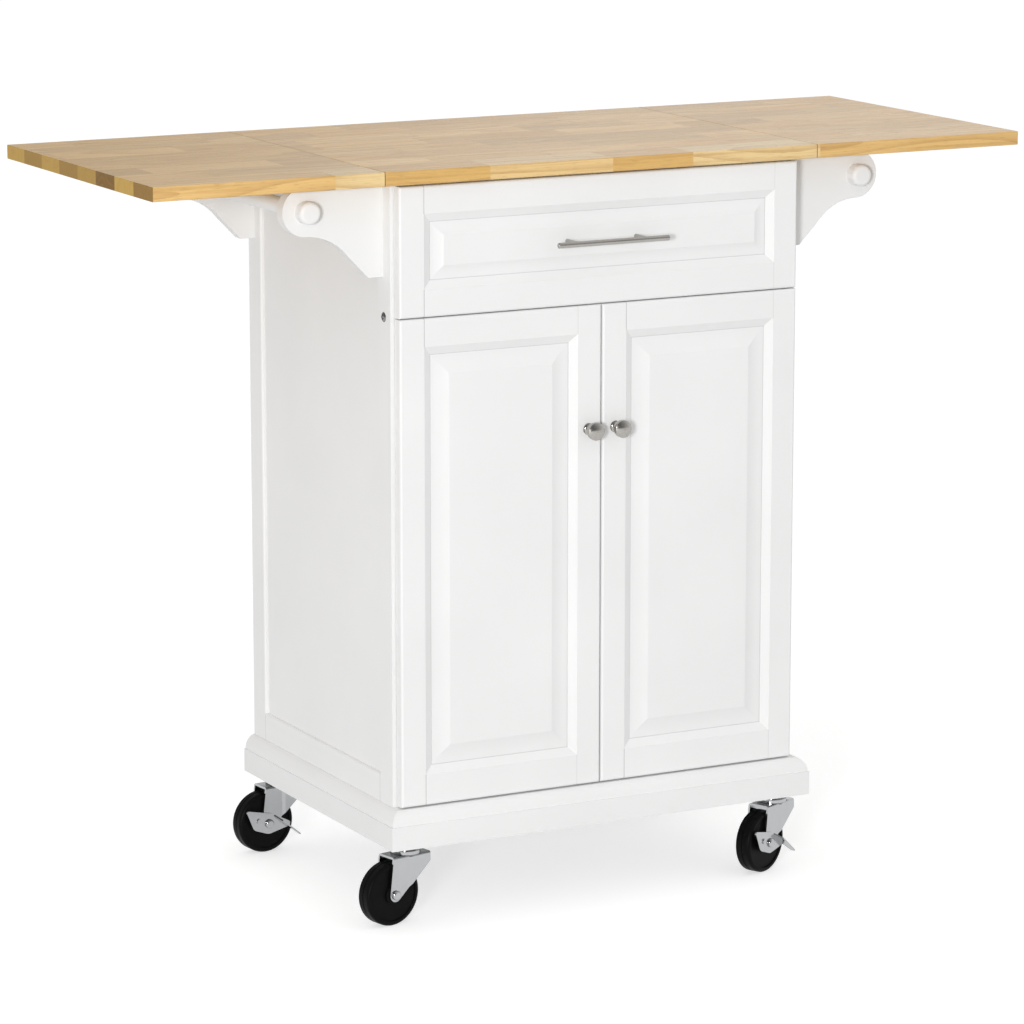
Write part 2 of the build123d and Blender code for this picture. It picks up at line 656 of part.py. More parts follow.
# Bar pull on two posts
with BuildPart() as pull:
    pull_z = drawer_front.middle[1]
    bar_y = front_face - PULL_STANDOFF
    with Locations(Location((0, bar_y, pull_z), ALONG_X)):
        Cylinder(PULL_DIAMETER / 2, PULL_LENGTH)
    fillet(pull.edges().filter_by(GeomType.CIRCLE), PULL_END_ROUND)
    post_length = PULL_STANDOFF + PANEL_SUNK
    for _, side in SIDES:
        with Locations(Location((side * PULL_CENTRES / 2, bar_y + post_length / 2, pull_z), ALONG_Y)):
            Cylinder(PULL_POST_DIAMETER / 2, post_length)
save(pull.part, "drawer_pull")

# Doors with their knobs and concealed hinges
hinge_zs = (door_bottom + HINGE_INSET, door_top - HINGE_INSET)
knob_z = door_top - KNOB_BELOW_DOOR_TOP
for name, side in SIDES:
    edges = sorted((side * front_half, side * DOOR_SPLIT / 2))
    door = Front(*edges, door_bottom, door_top, DOOR_BOTTOM_RAIL, DOOR_TOP_RAIL, DOOR_BEVEL)
    cup_x = side * (front_half - CUP_FROM_EDGE)
    cups = [(cup_x, z) for z in hinge_zs]
    save(front_frame(door, cups), f"{name}_door_frame")
    save(front_panel(door), f"{name}_door_panel")

    knob_x = side * (DOOR_SPLIT / 2 + KNOB_FROM_EDGE)
    with BuildPart() as knob:
        with BuildSketch(Plane(origin=(knob_x, front_face, knob_z), x_dir=(1, 0, 0), z_dir=(0, 0, -1))):
            with BuildLine():
                base = (KNOB_BASE_DIAMETER / 2, KNOB_BASE_LENGTH)
                neck = (KNOB_NECK_DIAMETER / 2, KNOB_NECK_REACH)
                rim = (KNOB_DIAMETER / 2, KNOB_RIM_REACH)
                rim_end = (KNOB_DIAMETER / 2, KNOB_RIM_REACH + KNOB_RIM_LENGTH)
                Polyline((0, KNOB_LENGTH), (0, 0), (KNOB_BASE_DIAMETER / 2, 0), base)
                waist = TangentArc(base, neck, tangent=(-1, 0))
                TangentArc(neck, rim, tangent=waist % 1)
                Line(rim, rim_end)
                TangentArc((0, KNOB_LENGTH), rim_end, tangent=(1, 0))
            make_face()
        revolve(axis=Axis((knob_x, front_face, knob_z), (0, -1, 0)))
    save(knob.part, f"{name}_door_knob")

    with BuildPart() as hinge_cups:
        cup_y = front_rear - CUP_DEPTH / 2
        with Locations(*[Location((cup_x, cup_y, z), ALONG_Y) for z in hinge_zs]):
            Cylinder(CUP_DIAMETER / 2, CUP_DEPTH)
        with Locations(*[Location((cup_x, cup_y + CUP_WALL, z), ALONG_Y) for z in hinge_zs]):
            Cylinder(CUP_DIAMETER / 2 - CUP_WALL, CUP_DEPTH, mode=Mode.SUBTRACT)
        flange_x = side * (inner_half - SIDE_PLAY - CUP_FLANGE_WIDTH / 2)
        with Locations(*[(flange_x, front_rear + CUP_FLANGE_THICK / 2, z) for z in hinge_zs]):
            Box(CUP_FLANGE_WIDTH, CUP_FLANGE_THICK, CUP_FLANGE_HEIGHT)
        link_length = CUP_FLANGE_THICK + HINGE_LINK_REACH
        with Locations(*[(flange_x, front_rear + link_length / 2, z) for z in hinge_zs]):
            Box(HINGE_LINK_WIDTH, link_length, HINGE_LINK_HEIGHT)
    save(hinge_cups.part, f"{name}_door_hinge_cups")

with BuildPart() as hinge_arms:
    arm_front = front_rear + CUP_FLANGE_THICK + HINGE_LINK_REACH + HINGE_ARM_GAP
    plate_mid_y = arm_front + HINGE_ARM_LENGTH - HINGE_PLATE_LENGTH / 2
    for _, side in SIDES:
        with Locations(*[(side * (inner_half - HINGE_PLATE_THICK / 2), plate_mid_y, z) for z in hinge_zs]):
            Box(HINGE_PLATE_THICK, HINGE_PLATE_LENGTH, HINGE_PLATE_HEIGHT)
        arm_y = arm_front + HINGE_ARM_LENGTH / 2
        with Locations(*[(side * (inner_half - HINGE_ARM_DEPTH / 2), arm_y, z) for z in hinge_zs]):
            Box(HINGE_ARM_DEPTH, HINGE_ARM_LENGTH, HINGE_ARM_HEIGHT)
save(hinge_arms.part, "door_hinge_arms")

# Casters: threaded stems with swivel races, pressed forks, bolted axles, solid wheels,
# and a side brake lever on the front right and rear left ones
wheel_radius = WHEEL_DIAMETER / 2
fork_under = WHEEL_DIAMETER + FORK_TOP_CLEARANCE
fork_top = fork_under + FORK_WALL
fork_inner = HUB_WIDTH / 2 + SIDE_PLAY
fork_outer = fork_inner + FORK_WALL
fork_far = FORK_LEAD + FORK_TAIL
joggle_end = FORK_JOGGLE_START + FORK_JOGGLE_RUN
brake_outer = fork_outer + SIDE_PLAY + BRAKE_THICK
race_under = fork_top + SIDE_PLAY

with BuildPart() as caster_stems:
    head_top = fork_under - SIDE_PLAY
    stem_low = head_top - KINGPIN_HEAD_THICK
    stem_high = CASTER_HEIGHT + STEM_BORE - SIDE_PLAY
    for x, y in caster_spots:
        with Locations((x, y, (stem_low + stem_high) / 2)):
            Cylinder(STEM_DIAMETER / 2, stem_high - stem_low)
        with Locations((x, y, head_top - KINGPIN_HEAD_THICK / 2)):
            Cylinder(KINGPIN_HEAD_DIAMETER / 2, KINGPIN_HEAD_THICK)
        with Locations((x, y, race_under + RACE_THICK / 2)):
            Cylinder(RACE_DIAMETER / 2, RACE_THICK)
        with Locations((x, y, (race_under + CASTER_HEIGHT) / 2)):
            Cylinder(RACE_COLLAR_DIAMETER / 2, CASTER_HEIGHT - race_under)
save(caster_stems.part, "caster_stems")

casters = (
    ("front_left", -1, "front", FRONT_LEFT_YAW, False),
    ("front_right", 1, "front", FRONT_RIGHT_YAW, True),
    ("rear_left", -1, "rear", REAR_LEFT_YAW, True),
    ("rear_right", 1, "rear", REAR_RIGHT_YAW, False),
)
for name, side, end, yaw, braked in casters:
    trail = Vector(-cos(radians(yaw)), -sin(radians(yaw)), 0)
    outward = Vector(sin(radians(yaw)), -cos(radians(yaw)), 0)
    pivot = Vector(side * caster_x, caster_ys[end], 0)
    axle_centre = pivot + trail * CASTER_TRAIL + Vector(0, 0, wheel_radius)
    swivel = Plane(origin=pivot, x_dir=trail, z_dir=(0, 0, 1))
    fork_side = Plane(origin=pivot, x_dir=trail, z_dir=outward)
    axle_plane = Plane(origin=axle_centre, x_dir=trail, z_dir=outward)

    with BuildPart() as fork:
        with BuildSketch(fork_side):
            with Locations(((FORK_TAIL - FORK_LEAD) / 2, -fork_top + FORK_SKIRT / 2)):
                Rectangle(FORK_LEAD + FORK_TAIL, FORK_SKIRT)
            with Locations((CASTER_TRAIL, -wheel_radius)):
                Circle(FORK_FOOT_RADIUS)
            make_hull()
        extrude(amount=fork_outer + FORK_JOGGLE, both=True)
        with BuildSketch(swivel):
            for way in (1, -1):
                Polygon(
                    (joggle_end, way * fork_outer),
                    (fork_far, way * fork_outer),
                    (fork_far, way * (fork_outer + FORK_JOGGLE)),
                    (FORK_JOGGLE_START, way * (fork_outer + FORK_JOGGLE)),
                    align=None,
                )
        extrude(amount=fork_top, mode=Mode.SUBTRACT)
        rims = fork.faces().sort_by(Axis.Z)[-1].edges()
        fillet(rims - rims.filter_by(Axis(pivot, outward)), FORK_BEND)
        with BuildSketch(swivel):
            Polygon(
                (-fork_far, fork_inner + FORK_JOGGLE),
                (FORK_JOGGLE_START, fork_inner + FORK_JOGGLE),
                (joggle_end, fork_inner),
                (fork_far, fork_inner),
                (fork_far, -fork_inner),
                (joggle_end, -fork_inner),
                (FORK_JOGGLE_START, -fork_inner - FORK_JOGGLE),
                (-fork_far, -fork_inner - FORK_JOGGLE),
                align=None,
            )
        extrude(amount=fork_under, mode=Mode.SUBTRACT)
        with BuildSketch(swivel):
            Circle(STEM_DIAMETER / 2 + RUNNING_PLAY)
        extrude(amount=fork_top, mode=Mode.SUBTRACT)
        with BuildSketch(axle_plane):
            Circle(AXLE_DIAMETER / 2 + RUNNING_PLAY)
        extrude(amount=fork_outer, both=True, mode=Mode.SUBTRACT)
    save(fork.part, f"{name}_caster_fork")

    head_at = (brake_outer if braked else fork_outer) + SIDE_PLAY
    with BuildPart() as axle:
        for way, reach in ((1, head_at), (-1, fork_outer + SIDE_PLAY)):
            with BuildSketch(axle_plane):
                Circle(AXLE_DIAMETER / 2)
            extrude(amount=way * (reach + AXLE_HEAD_THICK))
            with BuildSketch(axle_plane.offset(way * reach)):
                Circle(AXLE_HEAD_DIAMETER / 2)
            extrude(amount=way * AXLE_HEAD_THICK)
        axle_ends = axle.faces().sort_by(Axis(axle_centre, outward))
        fillet(axle_ends[0].edges() + axle_ends[-1].edges(), AXLE_HEAD_ROUND)
    save(axle.part, f"{name}_caster_axle")

    with BuildPart() as wheel:
        with BuildSketch(axle_plane):
            Circle(wheel_radius)
        extrude(amount=WHEEL_WIDTH / 2, both=True)
        fillet(wheel.edges().filter_by(GeomType.CIRCLE), WHEEL_ROUND)
        for way in (1, -1):
            with BuildSketch(axle_plane.offset(way * WHEEL_WIDTH / 2)):
                Circle(wheel_radius - WHEEL_RIM)
            extrude(amount=-way * WHEEL_RECESS, mode=Mode.SUBTRACT)
        with BuildSketch(axle_plane):
            Circle(wheel_radius)
            Circle(wheel_radius - TREAD_GROOVE_DEPTH, mode=Mode.SUBTRACT)
        extrude(amount=TREAD_GROOVE_WIDTH / 2, both=True, mode=Mode.SUBTRACT)
        with BuildSketch(axle_plane):
            Circle(HUB_DIAMETER / 2)
        extrude(amount=HUB_WIDTH / 2, both=True)
        with BuildSketch(axle_plane):
            Circle(AXLE_DIAMETER / 2 + RUNNING_PLAY)
        extrude(amount=HUB_WIDTH / 2, both=True, mode=Mode.SUBTRACT)
    save(wheel.part, f"{name}_caster_wheel")

    if braked:
        brake_inner = fork_outer + SIDE_PLAY
        root_local = Vector(-PEDAL_ROOT_REACH, -PEDAL_ROOT_RISE, brake_inner)
        tip_local = Vector(-PEDAL_TIP_REACH, PEDAL_TIP_DROP, brake_inner)
        pedal_root = axle_plane.from_local_coords(root_local)
        pedal_run = axle_plane.from_local_coords(tip_local) - pedal_root
        pedal_plane = Plane(origin=pedal_root, x_dir=pedal_run, z_dir=pedal_run.cross(outward))
        with BuildPart() as lever:
            with BuildSketch(axle_plane.offset(brake_inner)):
                Circle(BRAKE_EYE_RADIUS)
                with Locations((BRAKE_BULGE_REACH, -BRAKE_BULGE_RISE)):
                    Circle(BRAKE_BULGE_RADIUS)
                with Locations((BRAKE_TIP_REACH, -BRAKE_TIP_RISE)):
                    Circle(BRAKE_TIP_RADIUS)
                with Locations((-BRAKE_HEEL_REACH, BRAKE_HEEL_DROP)):
                    Circle(BRAKE_HEEL_RADIUS)
                make_hull()
            extrude(amount=BRAKE_THICK)
            with BuildSketch(axle_plane.offset(brake_outer)):
                with Locations((BRAKE_RIVET_REACH, -BRAKE_RIVET_RISE)):
                    Circle(BRAKE_RIVET_RADIUS)
            extrude(amount=BRAKE_RIVET_THICK)
            with BuildSketch(pedal_plane):
                Polygon(
                    (0, 0),
                    (PEDAL_LEVEL, 0),
                    (pedal_run.length, PEDAL_TIP_INSET),
                    (pedal_run.length, PEDAL_WIDTH),
                    (PEDAL_SHOULDER, PEDAL_WIDTH),
                    (0, BRAKE_THICK),
                    align=None,
                )
            extrude(amount=BRAKE_THICK)
            with BuildSketch(axle_plane):
                Circle(AXLE_DIAMETER / 2 + RUNNING_PLAY)
            extrude(amount=brake_outer, mode=Mode.SUBTRACT)
        save(lever.part, f"{name}_brake_lever")
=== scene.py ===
import math

import bpy
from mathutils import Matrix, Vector


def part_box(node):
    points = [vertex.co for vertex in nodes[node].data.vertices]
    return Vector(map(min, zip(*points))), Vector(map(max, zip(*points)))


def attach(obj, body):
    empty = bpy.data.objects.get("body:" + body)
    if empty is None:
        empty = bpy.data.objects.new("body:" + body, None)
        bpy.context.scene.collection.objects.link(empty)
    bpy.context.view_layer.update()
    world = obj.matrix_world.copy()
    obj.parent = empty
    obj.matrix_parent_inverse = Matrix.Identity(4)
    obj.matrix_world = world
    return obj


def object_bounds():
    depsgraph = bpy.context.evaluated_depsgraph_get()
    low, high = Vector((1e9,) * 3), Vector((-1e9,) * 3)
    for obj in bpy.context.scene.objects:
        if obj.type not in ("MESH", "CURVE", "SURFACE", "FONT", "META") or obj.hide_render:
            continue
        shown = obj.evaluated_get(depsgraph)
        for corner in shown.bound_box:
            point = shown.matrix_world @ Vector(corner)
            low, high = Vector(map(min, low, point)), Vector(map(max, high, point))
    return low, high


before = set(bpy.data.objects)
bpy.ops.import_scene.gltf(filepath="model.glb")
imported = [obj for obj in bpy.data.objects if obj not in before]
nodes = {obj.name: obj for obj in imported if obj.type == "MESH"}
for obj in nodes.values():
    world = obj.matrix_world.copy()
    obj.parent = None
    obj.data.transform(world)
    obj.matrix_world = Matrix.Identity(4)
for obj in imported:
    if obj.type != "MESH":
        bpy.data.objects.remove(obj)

cad_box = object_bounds()

# Carcass: two framed sides with sunk panels, a thin back, a base board, rails and a loose
# shelf. Solid wood and board, glued and bolted, sprayed with a white satin lacquer that
# lies a little unevenly and opens to a hairline where a rail meets a stile.
LACQUER_WHITE = (0.835, 0.835, 0.832, 1.0)
HAIRLINE_AND_SHADE_GREY = (0.42, 0.42, 0.415, 1.0)
LACQUER_ROUGHNESS = (0.34, 0.50)
CLOUD_SCALE, SHEEN_SCALE, PEEL_SCALE = 6.0, 35.0, 380.0
CLOUD_SHADE, PEEL_SHARE = 0.965, 0.12
HAIRLINE_HALF_WIDTH, HAIRLINE_DEPTH = 0.0008, 0.0002
SIDE_STILE = 0.036
SIDE_BOTTOM_RAIL, SIDE_TOP_RAIL = 0.062, 0.045
SIDE_JOINT = 0.7


def connect(tree, socket, value):
    """Link a socket to another one, or set it to a plain value."""
    if isinstance(value, bpy.types.NodeSocket):
        tree.links.new(value, socket)
    else:
        socket.default_value = value


def add_node(tree, kind, inputs, **settings):
    """A new node with its settings and its inputs, which go by name or place."""
    made = tree.nodes.new(kind)
    for key, value in settings.items():
        setattr(made, key, value)
    for key, value in inputs.items():
        connect(tree, made.inputs[key], value)
    return made


def reckon(tree, operation, *values):
    """The result of one sum on values or sockets."""
    return add_node(tree, "ShaderNodeMath", dict(enumerate(values)), operation=operation).outputs[0]


def blend(tree, factor, first, second, how="MIX"):
    """A mix of two colours."""
    mix = add_node(
        tree, "ShaderNodeMix", {0: factor, 6: first, 7: second}, data_type="RGBA", blend_type=how
    )
    return mix.outputs[2]


def spread(tree, value, low, high, start=0.0, end=1.0):
    """A value carried from the range start to end into the range low to high."""
    inputs = {"Value": value, "From Min": start, "From Max": end, "To Min": low, "To Max": high}
    return add_node(tree, "ShaderNodeMapRange", inputs).outputs[0]


def speckle(tree, vector, scale, detail=2.0):
    """A soft random pattern over the surface, from 0 to 1."""
    inputs = {"Vector": vector, "Scale": scale, "Detail": detail}
    return add_node(tree, "ShaderNodeTexNoise", inputs).outputs[0]


def stretch(tree, vector, along):
    """A vector multiplied by a scale for each axis."""
    return add_node(tree, "ShaderNodeVectorMath", {0: vector, 1: along}, operation="MULTIPLY").outputs[0]


def start_group(name, inputs, outputs):
    """An empty shader group with its named sockets, as a tree, its inputs and its outputs."""
    tree = bpy.data.node_groups.new(name, "ShaderNodeTree")
    for label, kind in inputs.items():
        tree.interface.new_socket(label, in_out="INPUT", socket_type=f"NodeSocket{kind}")
    for label, kind in outputs.items():
        tree.interface.new_socket(label, in_out="OUTPUT", socket_type=f"NodeSocket{kind}")
    return tree, tree.nodes.new("NodeGroupInput").outputs, tree.nodes.new("NodeGroupOutput").inputs


def use_group(tree, group, inputs):
    """One placing of a shader group, given as its outputs."""
    placed = tree.nodes.new("ShaderNodeGroup")
    placed.node_tree = group
    for label, value in inputs.items():
        connect(tree, placed.inputs[label], value)
    return placed.outputs


def start_finish(name, **values):
    """A new finish: its material, tree, Principled sockets and Object coordinates."""
    finish = bpy.data.materials.new(name)
    finish.use_nodes = True
    tree = finish.node_tree
    sockets = tree.nodes["Principled BSDF"].inputs
    for label, value in values.items():
        sockets[label.replace("_", " ")].default_value = value
    return finish, tree, sockets, tree.nodes.new("ShaderNodeTexCoord").outputs["Object"]


def emboss(tree, sockets, height, depth):
    """Raise the surface by a height pattern that is depth high in metres."""
    bump = add_node(tree, "ShaderNodeBump", {"Height": height, "Distance": depth, "Strength": 1.0})
    tree.links.new(bump.outputs["Normal"], sockets["Normal"])


def coat(finish, *names):
    """Give CAD pieces their finish."""
    for name in names:
        nodes[name].data.materials[0] = finish


film, film_in, film_out = start_group(
    "lacquer film", {"Vector": "Vector", "Colour": "Color"},
    {"Colour": "Color", "Roughness": "Float", "Peel": "Float"},
)
cloud = spread(film, speckle(film, film_in["Vector"], CLOUD_SCALE, 3.0), CLOUD_SHADE, 1.0, 0.3, 0.7)
connect(film, film_out["Colour"], blend(film, 1.0, film_in["Colour"], cloud, "MULTIPLY"))
sheen = speckle(film, film_in["Vector"], SHEEN_SCALE)
connect(film, film_out["Roughness"], spread(film, sheen, *LACQUER_ROUGHNESS))
connect(film, film_out["Peel"], speckle(film, film_in["Vector"], PEEL_SCALE))

hairline, hairline_in, hairline_out = start_group(
    "joint hairline", {"Distance": "Float", "Place": "Float", "Half Width": "Float"}, {"Mask": "Float"}
)
off_line = reckon(hairline, "SUBTRACT", hairline_in["Distance"], hairline_in["Place"])
off_line = reckon(hairline, "ABSOLUTE", off_line)
off_line = reckon(hairline, "DIVIDE", off_line, hairline_in["Half Width"])
on_line = reckon(hairline, "SUBTRACT", 1.0, off_line)
connect(hairline, hairline_out["Mask"], reckon(hairline, "MAXIMUM", on_line, 0.0))


def lacquer(name, seams=(), opening=(0.0, 0.0)):
    """White lacquer with dark hairlines of an axis, a place and a strength, none at the opening's heights.
    The hairlines are real joints, and on the fronts they are also painted shade in the gaps.
    """
    finish, tree, sockets, here = start_finish(name, Specular_IOR_Level=0.4)
    coats = use_group(tree, film, {"Vector": here, "Colour": LACQUER_WHITE})
    colour = coats["Colour"]
    height = reckon(tree, "MULTIPLY", coats["Peel"], PEEL_SHARE)
    apart = add_node(tree, "ShaderNodeSeparateXYZ", {0: here}).outputs
    low, high = opening
    off_middle = reckon(tree, "ABSOLUTE", reckon(tree, "SUBTRACT", apart["Z"], (low + high) / 2))
    on_rail = reckon(tree, "GREATER_THAN", off_middle, (high - low) / 2)
    for axis, place, strength in seams:
        crack_and_shade = use_group(
            tree, hairline, {"Distance": apart[axis], "Place": place, "Half Width": HAIRLINE_HALF_WIDTH}
        )["Mask"]
        crack_and_shade = reckon(tree, "MULTIPLY", reckon(tree, "MULTIPLY", crack_and_shade, on_rail), strength)
        # Painted shade: the hairline grey marks a real joint and, on the fronts, also the shade that falls
        # in the gap.
        colour = blend(tree, crack_and_shade, colour, HAIRLINE_AND_SHADE_GREY)
        height = reckon(tree, "SUBTRACT", height, crack_and_shade)
    connect(tree, sockets["Base Color"], colour)
    connect(tree, sockets["Roughness"], coats["Roughness"])
    emboss(tree, sockets, height, HAIRLINE_DEPTH)
    return finish


plain_lacquer = lacquer("white_lacquer")
side_low, side_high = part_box("left_side_frame")
side_lacquer = lacquer(
    "white_lacquer_side",
    [("Y", side_low.y + SIDE_STILE, SIDE_JOINT), ("Y", side_high.y - SIDE_STILE, SIDE_JOINT)],
    (side_low.z + SIDE_BOTTOM_RAIL, side_high.z - SIDE_TOP_RAIL),
)
coat(side_lacquer, "left_side_frame", "right_side_frame")
coat(
    plain_lacquer, "left_side_panel", "right_side_panel", "back_panel", "base_board", "bottom_rail",
    "top_rails", "drawer_divider", "shelf",
)

# Plinth: moulded boards mitred round the front corners, and a plain strip at the rear, in
# the same lacquer, glued and pinned to the base board.
coat(plain_lacquer, "front_plinth", "left_plinth", "right_plinth", "rear_plinth")

# Worktop and leaves: butcher block of short staves, glued edge to edge and end to end,
# sanded flat and oiled to a low gloss. Every block has its own tone and its own run of
# grain, and the cut ends drink more oil, so they are darker.
STAVE_WIDTH = 0.058
BLOCK_LENGTH = 0.17
GLUE_LINE = 0.0006
CUT_DEPTH = 0.0002
EDGE_MARGIN = 0.0001
ROW_SHIFT, BOARD_SHIFT = 17.37, 231.3
BLOCK_TONES = (
    (0.0, (0.65, 0.385, 0.115, 1.0)),
    (0.15, (0.70, 0.435, 0.142, 1.0)),
    (0.45, (0.765, 0.495, 0.185, 1.0)),
    (1.0, (0.81, 0.615, 0.31, 1.0)),
)
FRONT_BLOCKS = (
    (-0.6, 0.42), (-0.367, 0.92), (-0.3003, 0.12), (-0.162, 0.72),
    (0.005, 0.10), (0.118, 0.9), (0.3003, 0.40),
)
BACK_TONES = (0.02, 0.52)
BACK_SHADES = (0.84, 1.12)
RING_BROWN = (0.40, 0.19, 0.05, 1.0)
STREAK_BROWN = (0.46, 0.25, 0.07, 1.0)
PORE_BROWN = (0.27, 0.13, 0.035, 1.0)
GLUE_BROWN = (0.25, 0.13, 0.04, 1.0)
END_GRAIN_DARK = (0.19, 0.095, 0.01, 1.0)
END_GRAIN_LIGHT = (0.60, 0.385, 0.085, 1.0)
RING_SHARE, STREAK_SHARE, PORE_SHARE, GLUE_SHARE = 0.40, 0.40, 0.35, 0.40
END_RING_SHARE = 0.3
STREAK_BAND, PORE_BAND = (0.48, 0.66), (0.62, 0.72)
GROWTH_RUN = (1.6, 16.0, 16.0)
STREAK_RUN = (7.0, 240.0, 240.0)
PORE_RUN = (60.0, 1500.0, 1500.0)
RING_SHARPNESS, TOP_RINGS = 2.2, 11.0
LOG_SPREAD = (3.0, 3.0, 3.0)
TOP_ROUGHNESS, CUT_ROUGHNESS = (0.22, 0.36), 0.35
GRAIN_DEPTH = 0.00006


def ramp_of(tree, factor, stops, steps):
    """A colour ramp through stops of place and colour, smooth or in steps."""
    ramp = add_node(tree, "ShaderNodeValToRGB", {0: factor})
    ramp.color_ramp.interpolation = "CONSTANT" if steps else "LINEAR"
    elements = ramp.color_ramp.elements
    for place, colour in stops[1:-1]:
        elements.new(place).color = colour
    for element, (place, colour) in zip((elements[0], elements[-1]), (stops[0], stops[-1])):
        element.position = place
        element.color = colour
    return ramp.outputs["Color"]


grain, grain_in, grain_out = start_group(
    "wood grain", {"Vector": "Vector", "Ring Count": "Float"},
    {"Rings": "Float", "Streaks": "Float", "Pores": "Float"},
)
growth = speckle(grain, stretch(grain, grain_in["Vector"], GROWTH_RUN), 1.0, 1.0)
year = reckon(grain, "FRACT", reckon(grain, "MULTIPLY", growth, grain_in["Ring Count"]))
connect(grain, grain_out["Rings"], reckon(grain, "POWER", year, RING_SHARPNESS))
streak = speckle(grain, stretch(grain, grain_in["Vector"], STREAK_RUN), 1.0, 3.0)
connect(grain, grain_out["Streaks"], streak)
pore = speckle(grain, stretch(grain, grain_in["Vector"], PORE_RUN), 1.0, 1.0)
connect(grain, grain_out["Pores"], spread(grain, pore, 0.0, 1.0, *PORE_BAND))

butcher_block, tree, sockets, here = start_finish("butcher_block_oiled", Specular_IOR_Level=0.5)
top_low, top_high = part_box("worktop")
leaf_low, leaf_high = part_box("right_leaf")
apart = add_node(tree, "ShaderNodeSeparateXYZ", {0: here}).outputs
rows = reckon(tree, "DIVIDE", reckon(tree, "SUBTRACT", apart["Y"], top_low.y - EDGE_MARGIN), STAVE_WIDTH)
row = reckon(tree, "FLOOR", rows)
beyond_right = reckon(tree, "GREATER_THAN", apart["X"], top_high.x + CUT_DEPTH)
beyond_left = reckon(tree, "LESS_THAN", apart["X"], top_low.x - CUT_DEPTH)
board = reckon(tree, "SUBTRACT", beyond_right, beyond_left)
blocks = reckon(tree, "DIVIDE", apart["X"], BLOCK_LENGTH)
blocks = reckon(tree, "ADD", blocks, reckon(tree, "MULTIPLY", row, ROW_SHIFT))
blocks = reckon(tree, "ADD", blocks, reckon(tree, "MULTIPLY", board, BOARD_SHIFT))
cell = add_node(tree, "ShaderNodeTexVoronoi", {"W": blocks, "Scale": 1.0}, voronoi_dimensions="1D")
cell_tone = add_node(tree, "ShaderNodeSeparateColor", {0: cell.outputs["Color"]}).outputs[0]
cell_edge = add_node(
    tree, "ShaderNodeTexVoronoi", {"W": blocks, "Scale": 1.0},
    voronoi_dimensions="1D", feature="DISTANCE_TO_EDGE",
).outputs["Distance"]
half_span = cad_box[1].x
front_stops = [((x + half_span) / (2 * half_span), (tone, tone, tone, 1.0)) for x, tone in FRONT_BLOCKS]
front_tone = ramp_of(tree, spread(tree, apart["X"], 0.0, 1.0, -half_span, half_span), front_stops, True)
in_front = reckon(tree, "LESS_THAN", row, 0.5)
tone = blend(tree, in_front, spread(tree, cell_tone, *BACK_TONES), front_tone)
shift = add_node(tree, "ShaderNodeTexWhiteNoise", {"Vector": tone, "W": row}, noise_dimensions="4D")
log_place = stretch(tree, shift.outputs["Color"], LOG_SPREAD)
wood_at = add_node(tree, "ShaderNodeVectorMath", {0: here, 1: log_place}, operation="ADD").outputs[0]
figure = use_group(tree, grain, {"Vector": wood_at, "Ring Count": TOP_RINGS})
colour = ramp_of(tree, tone, BLOCK_TONES, False)
behind = reckon(tree, "SUBTRACT", 1.0, in_front)
colour = blend(tree, behind, colour, spread(tree, shift.outputs["Value"], *BACK_SHADES), "MULTIPLY")
colour = blend(tree, reckon(tree, "MULTIPLY", figure["Rings"], RING_SHARE), colour, RING_BROWN)
colour = blend(tree, spread(tree, figure["Streaks"], 0.0, STREAK_SHARE, *STREAK_BAND), colour, STREAK_BROWN)
colour = blend(tree, reckon(tree, "MULTIPLY", figure["Pores"], PORE_SHARE), colour, PORE_BROWN)
from_middle = reckon(tree, "ABSOLUTE", apart["X"])
cut_end = 0.0
for cut in (top_high.x, leaf_low.x, leaf_high.x):
    cut_end = reckon(tree, "MAXIMUM", cut_end, reckon(tree, "COMPARE", from_middle, cut, CUT_DEPTH))
cut_colour = blend(tree, shift.outputs["Value"], END_GRAIN_DARK, END_GRAIN_LIGHT)
end_rings = reckon(tree, "MULTIPLY", figure["Rings"], END_RING_SHARE)
cut_colour = blend(tree, end_rings, cut_colour, RING_BROWN)
colour = blend(tree, cut_end, colour, cut_colour)
beside = reckon(tree, "PINGPONG", rows, 0.5)
glue_side = spread(tree, beside, 1.0, 0.0, 0.0, GLUE_LINE / STAVE_WIDTH)
half_rows = (top_high.y - top_low.y) / STAVE_WIDTH / 2
between = reckon(tree, "COMPARE", rows, half_rows, half_rows - 0.5)
glue_side = reckon(tree, "MULTIPLY", glue_side, between)
glue_end = spread(tree, cell_edge, 1.0, 0.0, 0.0, GLUE_LINE / BLOCK_LENGTH)
glue_end = reckon(tree, "MULTIPLY", glue_end, behind)
glue = reckon(tree, "MAXIMUM", glue_side, glue_end)
colour = blend(tree, reckon(tree, "MULTIPLY", glue, GLUE_SHARE), colour, GLUE_BROWN)
connect(tree, sockets["Base Color"], colour)
rough = spread(tree, figure["Streaks"], *TOP_ROUGHNESS)
rough = reckon(tree, "ADD", rough, reckon(tree, "MULTIPLY", cut_end, CUT_ROUGHNESS))
connect(tree, sockets["Roughness"], rough)
emboss(tree, sockets, reckon(tree, "SUBTRACT", figure["Streaks"], figure["Pores"]), GRAIN_DEPTH)
coat(butcher_block, "worktop", "left_leaf", "right_leaf")

